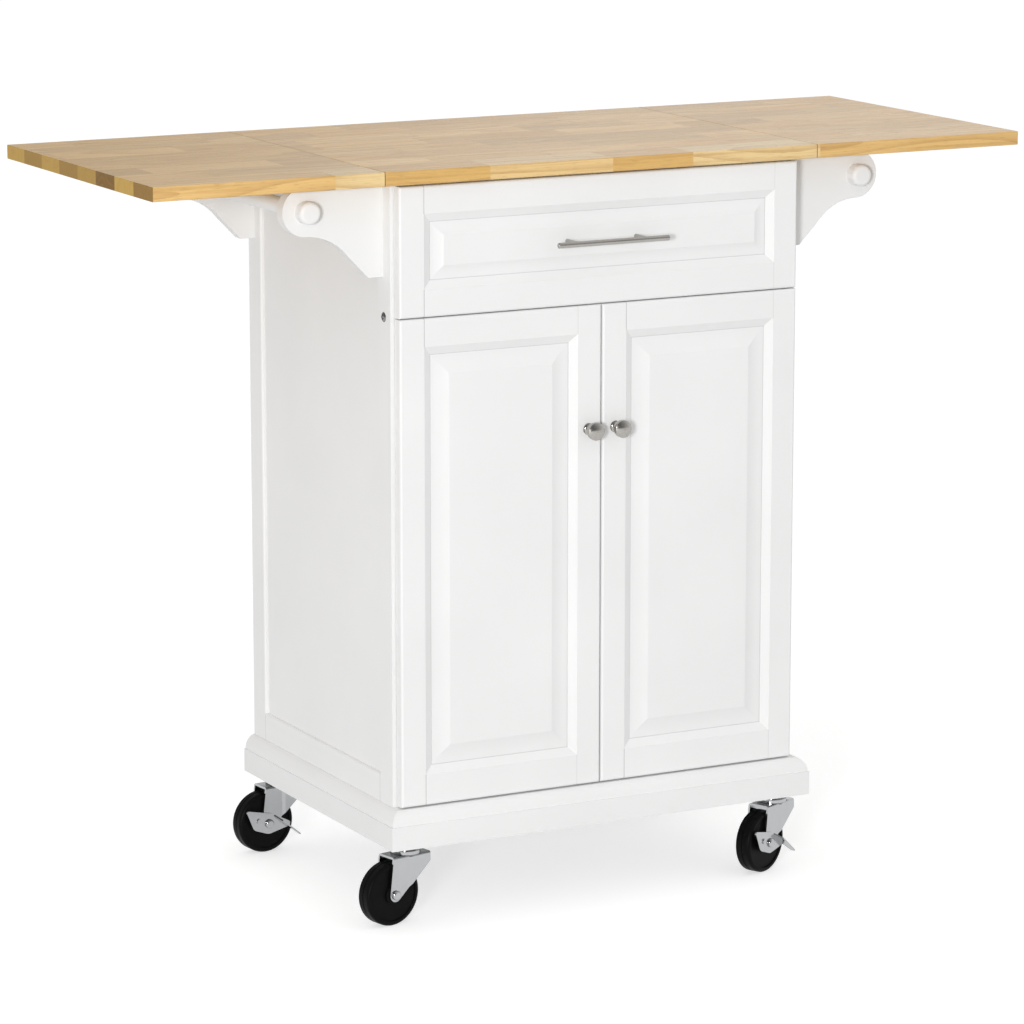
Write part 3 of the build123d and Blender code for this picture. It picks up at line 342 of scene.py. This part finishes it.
# Leaf hinges: slotted barrel sleeves of satin brass, pushed into blind bores in the
# meeting edges, where only the gap at the seam shows them.
BRASS_DARK, BRASS_LIGHT = (0.60, 0.42, 0.17, 1.0), (0.74, 0.55, 0.25, 1.0)
BRASS_ROUGHNESS = (0.25, 0.42)
BRASS_MOTTLE_SCALE, BRASS_SHEEN_SCALE = 240.0, 900.0
barrel_brass, tree, sockets, here = start_finish("barrel_brass", Metallic=1.0)
connect(tree, sockets["Base Color"], blend(
    tree, speckle(tree, here, BRASS_MOTTLE_SCALE), BRASS_DARK, BRASS_LIGHT
))
brass_sheen = speckle(tree, here, BRASS_SHEEN_SCALE)
connect(tree, sockets["Roughness"], spread(tree, brass_sheen, *BRASS_ROUGHNESS))
coat(barrel_brass, "worktop_hinge_barrels", "left_leaf_hinge_barrels", "right_leaf_hinge_barrels")

# Corbels and towel bars: sawn ogee brackets screwed to the sides, with a turned rail and a
# domed cap through each pair, all lacquered as the carcass is.
coat(
    plain_lacquer, "left_front_corbel", "left_rear_corbel", "right_front_corbel", "right_rear_corbel",
    "left_towel_bar", "right_towel_bar", "towel_bar_caps",
)

# Doors and drawer front: mortised frames round raised panels. The stiles run from top to
# bottom, so the joints show as hairlines that cross each rail, with painted shade that makes
# those at the left stiles strong and those at the right faint. Where each panel enters its
# frame a fine line is drawn, partly lacquer opened to a crack and partly painted shadow in the gap.
FRONT_STILE, DRAWER_RAIL = 0.033, 0.034
DOOR_BOTTOM_RAIL, DOOR_TOP_RAIL = 0.039, 0.035
PANEL_REBATE = 0.006
# Painted shadow: the panel seam's dark line is partly a crack in the lacquer and partly the shade in the
# gap between panel and frame.
PANEL_SEAM_AND_SHADOW = 0.55
# Painted shade: the hairlines at each front's left stile are drawn strong and those at its right stile
# faint, as the light from the left shades one side of each joint.
LEFT_JOINT_AND_SHADE, RIGHT_JOINT_AND_SHADE = 0.9, 0.3
front_low, front_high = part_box("drawer_front_frame")
door_low, door_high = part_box("right_door_frame")
outer_joint = front_high.x - FRONT_STILE
inner_joint = door_low.x + FRONT_STILE
front_lacquer = lacquer(
    "white_lacquer_drawer_front", [("X", -outer_joint, LEFT_JOINT_AND_SHADE), ("X", outer_joint, RIGHT_JOINT_AND_SHADE)],
    (front_low.z + DRAWER_RAIL, front_high.z - DRAWER_RAIL),
)
door_lacquer = lacquer(
    "white_lacquer_door",
    [
        ("X", -outer_joint, LEFT_JOINT_AND_SHADE), ("X", -inner_joint, RIGHT_JOINT_AND_SHADE),
        ("X", inner_joint, LEFT_JOINT_AND_SHADE), ("X", outer_joint, RIGHT_JOINT_AND_SHADE),
    ],
    (door_low.z + DOOR_BOTTOM_RAIL, door_high.z - DOOR_TOP_RAIL),
)
coat(front_lacquer, "drawer_front_frame")
coat(door_lacquer, "left_door_frame", "right_door_frame")
for name in ("drawer_front_panel", "left_door_panel", "right_door_panel"):
    panel_low, panel_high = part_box(name)
    edges = [
        (axis, place, PANEL_SEAM_AND_SHADOW)
        for axis, low, high in (("X", panel_low.x, panel_high.x), ("Z", panel_low.z, panel_high.z))
        for place in (low + PANEL_REBATE, high - PANEL_REBATE)
    ]
    coat(lacquer(f"white_lacquer_{name}", edges), name)

# Drawer box: pale birch, clear lacquered, grooved for a thin bottom. In the real box the grain
# runs along each board; here one quarter turn serves all boards, so the grain runs front to back.
BIRCH_PALE = (0.70, 0.55, 0.36, 1.0)
BIRCH_RING = (0.52, 0.36, 0.19, 1.0)
BIRCH_STREAK = (0.55, 0.39, 0.22, 1.0)
BIRCH_PORE = (0.34, 0.22, 0.11, 1.0)
BIRCH_RINGS = 9.0
BIRCH_RING_SHARE, BIRCH_STREAK_SHARE, BIRCH_PORE_SHARE = 0.22, 0.25, 0.25
BIRCH_STREAK_BAND = (0.35, 0.75)
BIRCH_ROUGHNESS = (0.38, 0.52)
BIRCH_DEPTH = 0.00005
drawer_birch, tree, sockets, here = start_finish("drawer_birch", Specular_IOR_Level=0.4)
quarter_turn = (0.0, 0.0, math.radians(90))
turned = add_node(tree, "ShaderNodeMapping", {"Vector": here, "Rotation": quarter_turn}).outputs[0]
figure = use_group(tree, grain, {"Vector": turned, "Ring Count": BIRCH_RINGS})
rings = reckon(tree, "MULTIPLY", figure["Rings"], BIRCH_RING_SHARE)
colour = blend(tree, rings, BIRCH_PALE, BIRCH_RING)
streaks = spread(tree, figure["Streaks"], 0.0, BIRCH_STREAK_SHARE, *BIRCH_STREAK_BAND)
colour = blend(tree, streaks, colour, BIRCH_STREAK)
pores = reckon(tree, "MULTIPLY", figure["Pores"], BIRCH_PORE_SHARE)
colour = blend(tree, pores, colour, BIRCH_PORE)
connect(tree, sockets["Base Color"], colour)
connect(tree, sockets["Roughness"], spread(tree, figure["Streaks"], *BIRCH_ROUGHNESS))
emboss(tree, sockets, figure["Streaks"], BIRCH_DEPTH)
coat(drawer_birch, "drawer_sides", "drawer_back", "drawer_bottom")

# Runners, hinge hardware and caster steel: rolled and pressed steel with bright zinc
# plate, whose cloudy spangle and fine drawing marks break up the gloss.
ZINC = (0.47, 0.48, 0.49, 1.0)
ZINC_RUN, ZINC_WEAR = (120.0, 120.0, 30.0), 0.2
MARK_BAND, MARK_SHADE = (0.3, 0.7), (0.88, 1.06)
MARK_GLOSS, WORN_GLOSS = (0.10, 0.16), 0.08
MARK_DEPTH = 0.00002
brushing, brushing_in, brushing_out = start_group(
    "brushed metal", {"Vector": "Vector", "Colour": "Color", "Wear": "Float"},
    {"Colour": "Color", "Roughness": "Float", "Lines": "Float"},
)
lines = speckle(brushing, brushing_in["Vector"], 1.0, 3.0)
shade = spread(brushing, lines, *MARK_SHADE, *MARK_BAND)
worn = blend(brushing, brushing_in["Wear"], brushing_in["Colour"], shade, "MULTIPLY")
connect(brushing, brushing_out["Colour"], worn)
gloss = spread(brushing, lines, *MARK_GLOSS, *MARK_BAND)
gloss = reckon(brushing, "ADD", gloss, reckon(brushing, "MULTIPLY", brushing_in["Wear"], WORN_GLOSS))
connect(brushing, brushing_out["Roughness"], gloss)
connect(brushing, brushing_out["Lines"], lines)


def metal(name, colour, run, wear):
    """Metal with fine marks, run giving their fineness along each axis and wear their strength."""
    finish, tree, sockets, here = start_finish(name, Metallic=1.0)
    vector = stretch(tree, here, run)
    marks = use_group(tree, brushing, {"Vector": vector, "Colour": colour, "Wear": wear})
    connect(tree, sockets["Base Color"], marks["Colour"])
    connect(tree, sockets["Roughness"], marks["Roughness"])
    emboss(tree, sockets, reckon(tree, "MULTIPLY", marks["Lines"], wear), MARK_DEPTH)
    return finish


zinc_plate = metal("zinc_plate", ZINC, ZINC_RUN, ZINC_WEAR)
coat(
    zinc_plate, "drawer_runner_channels", "drawer_runner_bars", "shelf_pins", "door_hinge_arms",
    "left_door_hinge_cups", "right_door_hinge_cups", "caster_stems",
)

# Pull and knobs: a straight bar on two posts and two turned knobs of brushed nickel, each
# held by a machine screw from behind.
NICKEL = (0.42, 0.405, 0.38, 1.0)
BAR_RUN, TURNED_RUN = (25.0, 1400.0, 1400.0), (300.0, 1500.0, 300.0)
NICKEL_WEAR = 1.0
pull_nickel = metal("nickel_bar", NICKEL, BAR_RUN, NICKEL_WEAR)
knob_nickel = metal("nickel_turned", NICKEL, TURNED_RUN, NICKEL_WEAR)
coat(pull_nickel, "drawer_pull")
coat(knob_nickel, "left_door_knob", "right_door_knob")

# Screws, bolts and nails: steel heads with a cross recess, turned in from inside for the
# hinges, runners, pull and knobs, one bolt through each side into the drawer divider, and
# flat nails round the back panel.
SCREW_GREY, BOLT_GREY = (0.40, 0.40, 0.405, 1.0), (0.26, 0.26, 0.264, 1.0)
STEEL_RUN, STEEL_WEAR = (500.0, 500.0, 500.0), 0.8
HEAD_SEGMENTS, HEAD_RINGS = 32, 96
SLOT_REACH, SLOT_LEVEL, ROOM_REACH = 1.15, 0.85, 2.2
HEAD_CREASE = math.radians(35)
screw_steel = metal("screw_steel", SCREW_GREY, STEEL_RUN, STEEL_WEAR)
bolt_steel = metal("bolt_steel", BOLT_GREY, STEEL_RUN, STEEL_WEAR)


def start_heads():
    """The tree that sets a head, with or without a cross recess, on every point."""
    tree = bpy.data.node_groups.new("fastener heads", "GeometryNodeTree")
    face = tree.interface
    face.new_socket("Geometry", in_out="INPUT", socket_type="NodeSocketGeometry")
    for label in ("Radius", "Rise", "Recess Width"):
        face.new_socket(label, in_out="INPUT", socket_type="NodeSocketFloat")
    face.new_socket("Crossed", in_out="INPUT", socket_type="NodeSocketBool")
    face.new_socket("Steel", in_out="INPUT", socket_type="NodeSocketMaterial")
    face.new_socket("Geometry", in_out="OUTPUT", socket_type="NodeSocketGeometry")
    given = tree.nodes.new("NodeGroupInput").outputs
    radius, rise, width = given["Radius"], given["Rise"], given["Recess Width"]

    def sized(x, y, z):
        return add_node(tree, "ShaderNodeCombineXYZ", {0: x, 1: y, 2: z}).outputs[0]

    def moved(geometry, height):
        return add_node(
            tree, "GeometryNodeTransform", {"Geometry": geometry, "Translation": sized(0.0, 0.0, height)}
        ).outputs[0]

    def block(x, y, z, height):
        cube = add_node(tree, "GeometryNodeMeshCube", {"Size": sized(x, y, z)}).outputs[0]
        return moved(cube, height)

    squares = [reckon(tree, "MULTIPLY", size, size) for size in (radius, rise)]
    square = reckon(tree, "ADD", *squares)
    dome_radius = reckon(tree, "DIVIDE", square, reckon(tree, "MULTIPLY", rise, 2.0))
    ball_inputs = {"Segments": HEAD_SEGMENTS, "Rings": HEAD_RINGS, "Radius": dome_radius}
    ball = add_node(tree, "GeometryNodeMeshUVSphere", ball_inputs).outputs[0]
    ball = moved(ball, reckon(tree, "SUBTRACT", rise, dome_radius))
    wide = reckon(tree, "MULTIPLY", dome_radius, ROOM_REACH)
    room = block(wide, wide, wide, reckon(tree, "DIVIDE", wide, 2.0))
    dome = add_node(tree, "GeometryNodeMeshBoolean", {}, operation="INTERSECT", solver="EXACT")
    tree.links.new(ball, dome.inputs["Mesh 2"])
    tree.links.new(room, dome.inputs["Mesh 2"])
    long = reckon(tree, "MULTIPLY", radius, SLOT_REACH)
    level = reckon(tree, "MULTIPLY", rise, SLOT_LEVEL)
    crossed = add_node(
        tree, "GeometryNodeMeshBoolean", {"Mesh 1": dome.outputs[0]}, operation="DIFFERENCE", solver="EXACT"
    )
    for x, y in ((long, width), (width, long)):
        tree.links.new(block(x, y, rise, level), crossed.inputs["Mesh 2"])
    head = add_node(
        tree, "GeometryNodeSwitch",
        {"Switch": given["Crossed"], "False": dome.outputs[0], "True": crossed.outputs[0]},
        input_type="GEOMETRY",
    ).outputs[0]
    facing = add_node(
        tree, "GeometryNodeInputNamedAttribute", {"Name": "facing"}, data_type="FLOAT_VECTOR"
    ).outputs[0]
    turned = add_node(tree, "FunctionNodeAlignRotationToVector", {"Vector": facing}, axis="Z").outputs[0]
    heads = add_node(
        tree, "GeometryNodeInstanceOnPoints",
        {"Points": given["Geometry"], "Instance": head, "Rotation": turned},
    ).outputs[0]
    real = add_node(tree, "GeometryNodeRealizeInstances", {"Geometry": heads}).outputs[0]
    dressed = add_node(
        tree, "GeometryNodeSetMaterial", {"Geometry": real, "Material": given["Steel"]}
    ).outputs[0]
    tree.links.new(dressed, tree.nodes.new("NodeGroupOutput").inputs[0])
    return tree


heads_tree = start_heads()
heads_inputs = {
    item.name: item.identifier for item in heads_tree.interface.items_tree if item.in_out == "INPUT"
}


def drive(name, body, places, radius, rise, recess=0.0, steel=screw_steel):
    """Fasteners of one kind and size in one body, given as pairs of place and facing."""
    points = bpy.data.meshes.new(name)
    points.from_pydata([place for place, _ in places], [], [])
    facing = points.attributes.new("facing", "FLOAT_VECTOR", "POINT")
    for held, (_, way) in zip(facing.data, places):
        held.vector = way
    piece = bpy.data.objects.new(name, points)
    bpy.context.scene.collection.objects.link(piece)
    setting = piece.modifiers.new("heads", "NODES")
    setting.node_group = heads_tree
    values = {
        "Radius": radius, "Rise": rise, "Recess Width": recess, "Crossed": recess > 0.0, "Steel": steel,
    }
    for label, value in values.items():
        setting[heads_inputs[label]] = value
    graph = bpy.context.evaluated_depsgraph_get()
    heads = bpy.data.meshes.new_from_object(piece.evaluated_get(graph), depsgraph=graph)
    piece.modifiers.clear()
    piece.data = heads
    bpy.data.meshes.remove(points)
    heads.name = name
    heads.shade_smooth()
    heads.set_sharp_from_angle(angle=HEAD_CREASE)
    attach(piece, body)


BOTH = (-1, 1)
PLATE_SCREW = (0.0032, 0.0014, 0.0011)
CUP_SCREW = (0.0030, 0.0014, 0.0011)
MACHINE_SCREW = (0.0042, 0.0024, 0.0013)
RUNNER_SCREW = (0.0034, 0.0015, 0.0011)
SIDE_BOLT = (0.0063, 0.0022, 0.0024)
BACK_NAIL = (0.0024, 0.0006)
arms_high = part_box("door_hinge_arms")[1]
cups_low, cups_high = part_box("left_door_hinge_cups")
inner_wall = arms_high.x
HINGE_ENDS = 0.022
hinge_heights = (cups_low.z + HINGE_ENDS, cups_high.z - HINGE_ENDS)
PLATE_THICK, PLATE_HALF, PLATE_HOLES = 0.002, 0.009, 0.014
plate_y = arms_high.y - PLATE_HALF
drive(
    "hinge_plate_screws", "cabinet",
    [((side * (inner_wall - PLATE_THICK), plate_y, z + end * PLATE_HOLES), (-side, 0, 0))
     for side in BOTH for z in hinge_heights for end in BOTH],
    *PLATE_SCREW,
)

CUP_DEPTH, FLANGE_THICK, FLANGE_MIDDLE, FLANGE_HOLES = 0.010, 0.0015, 0.0063, 0.0178
inside_door = cups_low.y + CUP_DEPTH
flange_x = inner_wall - FLANGE_MIDDLE
for side, name in zip(BOTH, ("left", "right")):
    drive(
        f"{name}_hinge_cup_screws", f"{name}_door",
        [((side * flange_x, inside_door + FLANGE_THICK, z + end * FLANGE_HOLES), (0, 1, 0))
         for z in hinge_heights for end in BOTH],
        *CUP_SCREW,
    )
    knob_low, knob_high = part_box(f"{name}_door_knob")
    knob_middle = (knob_low + knob_high) / 2
    drive(
        f"{name}_knob_screw", f"{name}_door", [((knob_middle.x, inside_door, knob_middle.z), (0, 1, 0))],
        *MACHINE_SCREW,
    )

PULL_HOLES = 0.048
pull_low, pull_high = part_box("drawer_pull")
drive(
    "pull_screws", "drawer",
    [((side * PULL_HOLES, inside_door, (pull_low.z + pull_high.z) / 2), (0, 1, 0)) for side in BOTH],
    *MACHINE_SCREW,
)

RUNNER_WALL, RUNNER_SPACE, RUNNER_MARGIN = 0.0015, 0.0127, 0.035
runner_low, runner_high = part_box("drawer_runner_channels")
runner_z = (runner_low.z + runner_high.z) / 2
runner_ys = [
    runner_low.y + RUNNER_MARGIN, (runner_low.y + runner_high.y) / 2, runner_high.y - RUNNER_MARGIN,
]
channel_x = inner_wall - RUNNER_WALL
bar_x = inner_wall - RUNNER_SPACE + RUNNER_WALL
drive(
    "runner_channel_screws", "cabinet",
    [((side * channel_x, y, runner_z), (-side, 0, 0)) for side in BOTH for y in runner_ys],
    *RUNNER_SCREW,
)
drive(
    "runner_bar_screws", "drawer",
    [((side * bar_x, y, runner_z), (side, 0, 0)) for side in BOTH for y in runner_ys],
    *RUNNER_SCREW,
)

divider_low, divider_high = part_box("drawer_divider")
bolt_y = side_low.y + SIDE_STILE / 2
bolt_z = (divider_low.z + divider_high.z) / 2
outer_wall = -side_low.x
drive(
    "side_bolts", "cabinet", [((side * outer_wall, bolt_y, bolt_z), (side, 0, 0)) for side in BOTH],
    *SIDE_BOLT, bolt_steel,
)

NAIL_MARGIN = 0.009
NAILS_UP, NAILS_ACROSS = 7, 4
back_low, back_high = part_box("back_panel")
nail_low, nail_high = back_low.z + NAIL_MARGIN, back_high.z - NAIL_MARGIN
nail_side = back_high.x - NAIL_MARGIN
nail_spots = [
    (side * nail_side, nail_low + (nail_high - nail_low) * step / (NAILS_UP - 1))
    for side in BOTH for step in range(NAILS_UP)
]
nail_spots += [
    (nail_side * (2 * step / (NAILS_ACROSS + 1) - 1), z)
    for z in (nail_low, nail_high) for step in range(1, NAILS_ACROSS + 1)
]
drive("back_nails", "cabinet", [((x, back_high.y, z), (0, 1, 0)) for x, z in nail_spots], *BACK_NAIL)

# Casters: zinc-plated forks and axles, and solid black wheels moulded with a faint skin.
# Two of them carry a pressed brake lever on the axle.
WHEEL_BLACKS = (0.003, 0.003, 0.0032, 1.0), (0.006, 0.006, 0.0064, 1.0)
WHEEL_ROUGHNESS = (0.34, 0.50)
WHEEL_MOTTLE_SCALE, WHEEL_SHEEN_SCALE, WHEEL_SKIN_SCALE = 60.0, 150.0, 1600.0
WHEEL_SKIN_DEPTH = 0.00003
black_wheel, tree, sockets, here = start_finish("black_wheel_moulded", Specular_IOR_Level=0.06)
wheel_mottle = speckle(tree, here, WHEEL_MOTTLE_SCALE, 3.0)
connect(tree, sockets["Base Color"], blend(tree, wheel_mottle, *WHEEL_BLACKS))
wheel_sheen = speckle(tree, here, WHEEL_SHEEN_SCALE)
connect(tree, sockets["Roughness"], spread(tree, wheel_sheen, *WHEEL_ROUGHNESS))
emboss(tree, sockets, speckle(tree, here, WHEEL_SKIN_SCALE), WHEEL_SKIN_DEPTH)
for corner in ("front_left", "front_right", "rear_left", "rear_right"):
    coat(zinc_plate, f"{corner}_caster_fork", f"{corner}_caster_axle")
    coat(black_wheel, f"{corner}_caster_wheel")
coat(zinc_plate, "front_right_brake_lever", "rear_left_brake_lever")

# Studio: a pale floor that keeps the shadow, a white surround that gloss sees dimmer on the
# left and behind the camera, a soft key lamp low on the left and in front, and the camera
# where the photograph was taken.
FLOOR_REACH = 20.0
FLOOR_GREYS = (0.62, 0.62, 0.62, 1.0), (0.65, 0.65, 0.65, 1.0)
FLOOR_MOTTLE_SCALE = 3.0
FLOOR_GLOW = 0.56
SURROUND_FILL = 0.73
DIM_BEHIND, BEHIND_BAND = 0.10, (-0.95, 0.1)
DIM_LEFT, LEFT_BAND = 0.45, (-0.1, 0.0)
KEY_SIZE, KEY_WATTS = 1.0, 241.0
KEY_PLACE, KEY_SIDE = (-4.2, -5.6, 1.6), (-0.60, -0.80, 0.157)
LENS_LENGTH, SENSOR_WIDTH = 159.35, 36.0
CAMERA_PLACE = (-2.6411, -5.0532, 1.6249)
CAMERA_TURN, CAMERA_TILT = math.radians(27.455), math.radians(90 - 11.572)
scene = bpy.context.scene
scene.view_settings.view_transform = "Standard"


def seen_by_eye(tree):
    """1 for rays from the camera, or off gloss and through glass, and 0 for other rays."""
    rays = tree.nodes.new("ShaderNodeLightPath").outputs
    seen = reckon(tree, "MAXIMUM", rays["Is Camera Ray"], rays["Is Glossy Ray"])
    return reckon(tree, "MAXIMUM", seen, rays["Is Transmission Ray"])


floor_mesh = bpy.data.meshes.new("floor")
floor_corners = [(x * FLOOR_REACH, y * FLOOR_REACH, 0.0) for x, y in ((-1, -1), (1, -1), (1, 1), (-1, 1))]
floor_mesh.from_pydata(floor_corners, [], [(0, 1, 2, 3)])
floor = bpy.data.objects.new("floor", floor_mesh)
scene.collection.objects.link(floor)
pale_floor, tree, sockets, here = start_finish("pale_floor", Roughness=0.9, Specular_IOR_Level=0.0)
connect(tree, sockets["Base Color"], blend(
    tree, speckle(tree, here, FLOOR_MOTTLE_SCALE), *FLOOR_GREYS
))
sockets["Emission Color"].default_value = (1.0, 1.0, 1.0, 1.0)
connect(tree, sockets["Emission Strength"], reckon(tree, "MULTIPLY", seen_by_eye(tree), FLOOR_GLOW))
floor_mesh.materials.append(pale_floor)

world = bpy.data.worlds.new("white_surround")
world.use_nodes = True
scene.world = world
tree = world.node_tree
surround = tree.nodes["Background"].inputs
surround["Color"].default_value = (1.0, 1.0, 1.0, 1.0)
ray = tree.nodes.new("ShaderNodeTexCoord").outputs["Generated"]
across, along = math.sin(CAMERA_TURN), math.cos(CAMERA_TURN)
onward, rightward = (
    add_node(tree, "ShaderNodeVectorMath", {0: ray, 1: way}, operation="DOT_PRODUCT").outputs["Value"]
    for way in ((across, along, 0.0), (along, -across, 0.0))
)
rays = tree.nodes.new("ShaderNodeLightPath").outputs
glare_ahead = spread(tree, onward, DIM_BEHIND, 1.0, *BEHIND_BAND)
glare_right = spread(tree, rightward, DIM_LEFT, 1.0, *LEFT_BAND)
glare = reckon(tree, "MULTIPLY", glare_ahead, glare_right)
glare = reckon(tree, "MULTIPLY", glare, rays["Is Glossy Ray"])
fill = reckon(tree, "SUBTRACT", 1.0, rays["Is Glossy Ray"])
fill = reckon(tree, "MULTIPLY", fill, SURROUND_FILL)
plain = reckon(tree, "MAXIMUM", rays["Is Camera Ray"], rays["Is Transmission Ray"])
connect(tree, surround["Strength"], reckon(tree, "MAXIMUM", plain, reckon(tree, "MAXIMUM", glare, fill)))

key = bpy.data.lights.new("key_lamp", "AREA")
key.shape = "DISK"
key.size = KEY_SIZE
key.energy = KEY_WATTS
key_lamp = bpy.data.objects.new("key_lamp", key)
key_lamp.location = KEY_PLACE
key_lamp.rotation_euler = Vector(KEY_SIDE).to_track_quat("Z", "Y").to_euler()
scene.collection.objects.link(key_lamp)

lens = bpy.data.cameras.new("camera")
lens.lens = LENS_LENGTH
lens.sensor_width = SENSOR_WIDTH
camera = bpy.data.objects.new("camera", lens)
camera.location = CAMERA_PLACE
camera.rotation_euler = (CAMERA_TILT, 0.0, -CAMERA_TURN)
scene.collection.objects.link(camera)
scene.camera = camera
